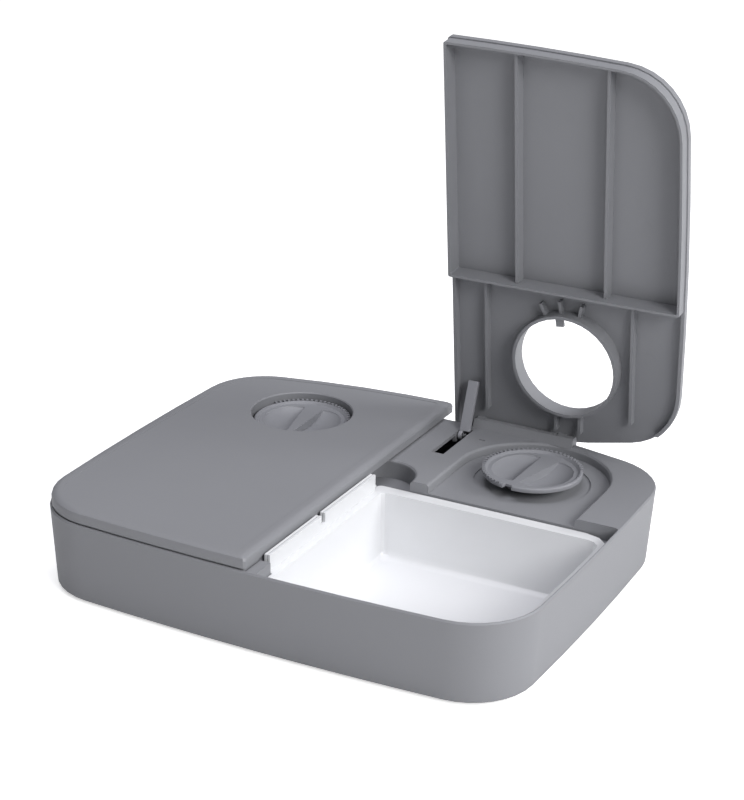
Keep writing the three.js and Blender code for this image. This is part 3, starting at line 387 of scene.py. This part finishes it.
rubber_grain = 1.2 * millimetre
rubber_depth = 0.06 * millimetre
rubber = Finish("matte_rubber")
worn = rubber.noise(rubber_grain, detail=5.0)
rubber.set(
    base_color=rubber.mix(worn, colour(0x1E1E1F), colour(0x303032)),
    roughness=around(0.85, worn, spread=0.2),
    normal=rubber.bump(worn, rubber_depth),
    specular_ior_level=0.3,
)
for side in sides:
    for end in ("front_", "rear_"):
        softened("foot_" + end + side, rubber, "base", foot_edge)

# Cells lie in the two trays of the cover: a nickel contact with a coil spring at the front, a plain
# contact at the rear, and a door under each. A cell has a printed sleeve between bare steel ends.
cell_edge = 0.5 * millimetre
plate_edge = 0.1 * millimetre
spring_edge = 0.05 * millimetre
sleeve_from_base = 1.2 * millimetre
sleeve_from_tip = 2.6 * millimetre
band_from_base = 36 * millimetre
sleeve_dullness = 0.75
sleeve_roughness = 0.3
scuff_size = 2 * millimetre
scuff_roughness = 0.12
nickel = metal(
    "nickel_contacts",
    0xC9C5BB,
    roughness=0.25,
    streak=1.5 * millimetre,
    stretch=(1, 0.3, 1),
)
door_finish = moulded(
    "grey_doors", cover_grey, roughness=0.55, grain=cover_grain, depth=cover_depth
)
for side in sides:
    low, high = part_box("battery_" + side)
    cell = Finish("cell_" + side)
    along = cell.node("SeparateXYZ", {}, {0: cell.place}).out("Y")
    bare_tip = along.above(high.y - sleeve_from_tip)
    sleeve = along.above(low.y + sleeve_from_base) * (1 - bare_tip)
    band = along.above(low.y + band_from_base)
    printed = cell.mix(band, colour(0x2F4A45), colour(0xB8A27A))
    scuffs = cell.noise(scuff_size, detail=6.0)
    cell.set(
        base_color=cell.mix(sleeve, colour(0xC6C6C4), printed),
        metallic=1 - sleeve * sleeve_dullness,
        roughness=sleeve_roughness + scuffs * scuff_roughness,
    )
    softened("battery_" + side, cell, "base", cell_edge)
    softened("battery_plate_" + side, nickel, "base", plate_edge)
    softened("battery_spring_" + side, nickel, "base", spring_edge)
    softened("battery_door_" + side, door_finish, "door_" + side, cover_edge)

# The timers: a two-part case, a circuit board, a motor with its copper winding, and three gears
# that bring its turns down to the spindle of the dial.
case_edge = 0.3 * millimetre
board_edge = 0.1 * millimetre
bobbin_edge = 0.2 * millimetre
gear_edge = 0.12 * millimetre
case_finish = moulded(
    "dark_timer_case",
    0x3B3C40,
    roughness=0.6,
    grain=0.7 * millimetre,
    depth=0.03 * millimetre,
)
gear_finish = moulded(
    "natural_gears",
    0xD9D6CB,
    roughness=0.42,
    grain=0.9 * millimetre,
    depth=0.01 * millimetre,
)
chip_finish = moulded(
    "black_chips", 0x232325, roughness=0.5, grain=0.6 * millimetre, depth=0.02 * millimetre
)
copper = metal(
    "winding_copper", 0xB4703F, roughness=0.3, streak=0.6 * millimetre, stretch=(3, 1, 1)
)
track_size = 1.6 * millimetre
track_from = 0.5
track_to = 0.58
track_blur = 0.03
lacquer_roughness = 0.35
track_roughness = 0.1
board_finish = Finish("coated_board")
tracks = board_finish.noise(track_size, detail=0.0, stretch=(1, 0.25, 1))
past_track = tracks.ramp(track_to - track_blur, track_to)
copper_line = tracks.ramp(track_from, track_from + track_blur) * (1 - past_track)
board_finish.set(
    base_color=board_finish.mix(copper_line, colour(0x1F4A33), colour(0x4D7A4F)),
    roughness=lacquer_roughness + copper_line * track_roughness,
    coat_weight=0.3,
)


# A Pattern is a Geometry Nodes tree with named inputs. What it makes becomes a plain mesh.
class Pattern:
    def __init__(self, name, **kinds):
        self.tree = bpy.data.node_groups.new(name, "GeometryNodeTree")
        for title, kind in {**kinds, "Material": "Material"}.items():
            self.socket(title, "INPUT", kind)
        self.socket("Geometry", "OUTPUT", "Geometry")
        self.given = self.node("NodeGroupInput", {}).outputs

    def socket(self, title, way, kind):
        self.tree.interface.new_socket(title, in_out=way, socket_type="NodeSocket" + kind)

    def node(self, kind, sockets):
        made = self.tree.nodes.new(kind)
        for name, given in sockets.items():
            if isinstance(given, bpy.types.NodeSocket):
                self.tree.links.new(given, made.inputs[name])
            else:
                made.inputs[name].default_value = given
        return made

    def end(self, shape):
        real = self.node("GeometryNodeRealizeInstances", {"Geometry": shape})
        sockets = {"Geometry": real.outputs["Geometry"], "Material": self.given["Material"]}
        coated = self.node("GeometryNodeSetMaterial", sockets)
        self.node("NodeGroupOutput", {"Geometry": coated.outputs["Geometry"]})

    def grow(self, name, finish, **values):
        values["Material"] = finish.material
        made = new_object(name, bpy.data.meshes.new(name))
        modifier = made.modifiers.new("nodes", "NODES")
        modifier.node_group = self.tree
        for item in self.tree.interface.items_tree:
            if item.in_out == "INPUT":
                modifier[item.identifier] = values[item.name]
        as_mesh(made)
        return made


# The winding is one wire in a close spiral, which is drawn upright and then laid along the coil.
turn_steps = 20
wire_sides = 6
winding = Pattern("winding", Radius="Float", Length="Float", Turns="Float", Wire="Float")
spiral = winding.node(
    "GeometryNodeCurveSpiral",
    {
        "Resolution": turn_steps,
        "Rotations": winding.given["Turns"],
        "Start Radius": winding.given["Radius"],
        "End Radius": winding.given["Radius"],
        "Height": winding.given["Length"],
    },
)
wire = winding.node(
    "GeometryNodeCurvePrimitiveCircle",
    {"Resolution": wire_sides, "Radius": winding.given["Wire"]},
)
wound = winding.node(
    "GeometryNodeCurveToMesh",
    {
        "Curve": spiral.outputs["Curve"],
        "Profile Curve": wire.outputs["Curve"],
        "Fill Caps": True,
    },
)
winding.end(wound.outputs["Mesh"])


def block_mesh(boxes):
    work = bmesh.new()
    for low, high in boxes:
        middle = Matrix.Translation((low + high) / 2)
        bmesh.ops.create_cube(work, size=1, matrix=middle @ Matrix.Diagonal((*(high - low), 1)))
    mesh = bpy.data.meshes.new("blocks")
    work.to_mesh(mesh)
    work.free()
    return mesh


coil_cheek = 1.2 * millimetre
coil_core = 3.6 * millimetre
coil_wire = 0.22 * millimetre
wire_gap_share = 0.1
wire_pitch = (2 + wire_gap_share) * coil_wire
chip_height = 0.2 * millimetre
# The place of a chip's left front corner on the board, and the chip's width and depth. A place
# below zero is counted from the board's right or rear edge.
chips = ((1.5, 0.8, 4, 1.6), (-6, 0.8, 3, 1.4), (8, -1.8, 5, 1.2))
for side in sides:
    softened("timer_case_" + side, case_finish, "base", case_edge)
    softened("timer_cover_" + side, case_finish, "base", case_edge)
    softened("timer_board_" + side, board_finish, "base", board_edge)
    softened("motor_coil_" + side, case_finish, "base", bobbin_edge)
    softened("dial_spindle_" + side, gear_finish, "dial_" + side, gear_edge)
    softened("timer_idler_" + side, gear_finish, "idler_" + side, gear_edge)
    softened("motor_rotor_" + side, gear_finish, "rotor_" + side, gear_edge)
    low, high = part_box("motor_coil_" + side)
    length = high.x - low.x - 2 * coil_cheek - 2 * coil_wire
    coil = winding.grow(
        "winding_" + side,
        copper,
        Radius=coil_core + coil_wire,
        Length=length,
        Turns=length / wire_pitch,
        Wire=coil_wire,
    )
    coil.data.transform(
        Matrix.Translation((low + high) / 2)
        @ Matrix.Rotation(math.radians(90), 4, "Y")
        @ Matrix.Translation((0, 0, -length / 2))
    )
    finished(coil, copper, "base")
    low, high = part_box("timer_board_" + side)
    boxes = []
    for x, y, wide, deep in chips:
        corner_x = (low.x if x > 0 else high.x) + x * millimetre
        corner_y = (low.y if y > 0 else high.y) + y * millimetre
        corner = Vector((corner_x, corner_y, high.z))
        size = Vector((wide * millimetre, deep * millimetre, chip_height))
        boxes.append((corner, corner + size))
    finished(new_object("chips_" + side, block_mesh(boxes)), chip_finish, "base")

# Dials: a round knob with a rounded rim, two deep pockets that leave a grip bar between them, and
# short ribs on the rim, from the notch at the front round the inner side and the rear.
dial_edge = 0.4 * millimetre
rib_size = Vector((2.0, 1.4, 2.2)) * millimetre
rib_rise = 0.6 * millimetre
rib_count = 40
rib_start = math.radians(-108)
rib_sweep = math.radians(-225)
ring_steps = 128
dial_finish = moulded(
    "satin_grey_dials",
    0x88898E,
    roughness=0.44,
    grain=satin_grain,
    depth=0.015 * millimetre,
)
rim_ribs = Pattern(
    "rim_ribs", Radius="Float", Start="Float", Sweep="Float", Count="Int", Size="Vector"
)
ring = rim_ribs.node(
    "GeometryNodeCurveArc",
    {
        "Resolution": ring_steps,
        "Radius": rim_ribs.given["Radius"],
        "Start Angle": rim_ribs.given["Start"],
        "Sweep Angle": rim_ribs.given["Sweep"],
    },
)
spots = rim_ribs.node(
    "GeometryNodeCurveToPoints",
    {"Curve": ring.outputs["Curve"], "Count": rim_ribs.given["Count"]},
)
place = rim_ribs.node("GeometryNodeInputPosition", {})
outward = rim_ribs.node(
    "FunctionNodeAlignRotationToVector", {"Vector": place.outputs["Position"]}
)
outward.axis = "X"
rib = rim_ribs.node("GeometryNodeMeshCube", {"Size": rim_ribs.given["Size"]})
row = rim_ribs.node(
    "GeometryNodeInstanceOnPoints",
    {
        "Points": spots.outputs["Points"],
        "Instance": rib.outputs["Mesh"],
        "Rotation": outward.outputs["Rotation"],
    },
)
rim_ribs.end(row.outputs["Instances"])


def mirrored(mesh):
    mesh.transform(Matrix.Scale(-1, 4, (1, 0, 0)))
    mesh.flip_normals()


for side in sides:
    softened("dial_" + side, dial_finish, "dial_" + side, dial_edge)
    low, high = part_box("dial_" + side)
    middle = (low + high) / 2
    ribs = rim_ribs.grow(
        "rim_ribs_" + side,
        dial_finish,
        Radius=(high.x - low.x) / 2 - rib_size.x / 2 + rib_rise / 2,
        Start=rib_start,
        Sweep=rib_sweep,
        Count=rib_count,
        Size=rib_size,
    )
    if side == "left":
        mirrored(ribs.data)
    rib_middle = high.z + rib_rise - rib_size.z / 2
    ribs.data.transform(Matrix.Translation((middle.x, middle.y, rib_middle)))
    finished(ribs, dial_finish, "dial_" + side)

# The bowls lift out for washing. Each is one moulding in glossy white plastic, hardly uneven, with
# soft edges.
bowl_edge = 0.6 * millimetre
bowl_finish = moulded(
    "glossy_white_bowls",
    0xE0E1E3,
    roughness=0.2,
    grain=3 * millimetre,
    depth=0.02 * millimetre,
    unevenness=0.01,
)
for side in sides:
    softened("bowl_" + side, bowl_finish, "base", bowl_edge)

# The levers throw the lids open. Each is a grey moulding on a bright steel pin, driven by a spring
# of drawn steel wire.
lever_edge = 0.35 * millimetre
pin_edge = 0.15 * millimetre
lever_finish = moulded(
    "satin_grey_levers",
    0x9A9BA1,
    roughness=0.45,
    grain=satin_grain,
    depth=0.015 * millimetre,
)
bright = metal(
    "bright_pins", 0xC4C5C7, roughness=0.25, streak=1 * millimetre, stretch=(0.2, 1, 1)
)
spring_steel = metal(
    "spring_steel", 0x9C9DA0, roughness=0.3, streak=0.5 * millimetre, stretch=(1, 1, 1)
)
for side in sides:
    softened("lever_" + side, lever_finish, "lever_" + side, lever_edge)
    softened("lever_pin_" + side, bright, "base", pin_edge)
    softened("lever_spring_" + side, spring_steel, "base", spring_edge)

# The lids are grey mouldings that turn on steel pins. Under each one the mould's ejector pins have
# left faint round marks, which are placed on a shut lid: the right one is then turned open.
lid_edge = 0.5 * millimetre
lid_wall = 2.3 * millimetre
lid_finish = moulded(
    "satin_grey_lids", grey, roughness=0.46, grain=satin_grain, depth=satin_depth
)
hinge = next(joint for joint in frame["joints"] if joint["name"] == "lid_right_hinge")
hinge_place = Matrix.Translation(hinge["pos_m"])
shutting = Matrix.Rotation(math.radians(hinge["range_deg"][0]), 4, Vector(hinge["axis"]))
lid_opened = hinge_place @ shutting.inverted() @ hinge_place.inverted()
mark_radius = 3.2 * millimetre
mark_depth = 0.1 * millimetre
mark_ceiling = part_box("lid_left")[1].z - lid_wall
mark_steps = 28
mark_places = (
    (28, -95),
    (28, -35),
    (82, -95),
    (82, -35),
    (136, -80),
    (136, -30),
    (30, 55),
    (140, 60),
)
for side in sides:
    softened("hinge_pin_" + side, bright, "base", pin_edge)
    softened("lid_" + side, lid_finish, "lid_" + side, lid_edge)
    work = bmesh.new()
    for x, y in mark_places:
        bmesh.ops.create_cone(
            work,
            cap_ends=True,
            segments=mark_steps,
            radius1=mark_radius,
            radius2=mark_radius,
            depth=2 * mark_depth,
            matrix=Matrix.Translation((x * millimetre, y * millimetre, mark_ceiling)),
        )
    marks = bpy.data.meshes.new("ejector_marks_" + side)
    work.to_mesh(marks)
    work.free()
    if side == "left":
        mirrored(marks)
    else:
        marks.transform(lid_opened)
    finished(new_object(marks.name, marks), lid_finish, "lid_" + side)

# Floor and lights: a white floor that shows little shadow, a white surround that lights the feeder
# only a little, two large lamps high on the right and a broad weak one straight above.
floor_reach = 3
floor_glow = 0.6
floor_mesh = bpy.data.meshes.new("floor")
corners = [
    (x * floor_reach, y * floor_reach, 0) for x, y in ((-1, -1), (1, -1), (1, 1), (-1, 1))
]
floor_mesh.from_pydata(corners, [], [(0, 1, 2, 3)])
floor = new_object("floor", floor_mesh)
floor_finish = Finish("pale_floor")
seen = floor_finish.node("LightPath").out("Is Camera Ray")
floor_finish.set(
    base_color=colour(0xF4F4F4),
    roughness=0.9,
    emission_color=(1, 1, 1, 1),
    emission_strength=seen * floor_glow,
)
floor_mesh.materials.append(floor_finish.material)

surround_tint = (0.97, 0.98, 1, 1)
surround_light = 0.17
world = bpy.data.worlds.new("studio")
world.use_nodes = True
bpy.context.scene.world = world
surround = Shading(world.node_tree)
strength = surround_light + surround.node("LightPath").out("Is Camera Ray") * (1 - surround_light)
background = surround.node("Background", {}, {"Color": surround_tint, "Strength": strength})
surround.node("OutputWorld", {}, {"Surface": background.out("Background")})

white = (1, 1, 1)
cool_white = (0.95, 0.945, 1)
lamp_aim = Vector((0, 0, 0.08))


def lamp(name, place, size, watts, tint):
    data = bpy.data.lights.new(name, "AREA")
    data.shape = "DISK"
    data.size = size
    data.energy = watts
    data.color = tint
    light = bpy.data.objects.new(name, data)
    light.location = place
    light.rotation_euler = (lamp_aim - Vector(place)).to_track_quat("-Z", "Y").to_euler()
    bpy.context.scene.collection.objects.link(light)


lamp("key", place=(2.1, -1.2, 1.5), size=1.2, watts=42, tint=white)
lamp("side", place=(2.3, 0.8, 1.3), size=1.2, watts=35, tint=white)
lamp("top", place=(0, 0, 2.6), size=2, watts=38, tint=cool_white)
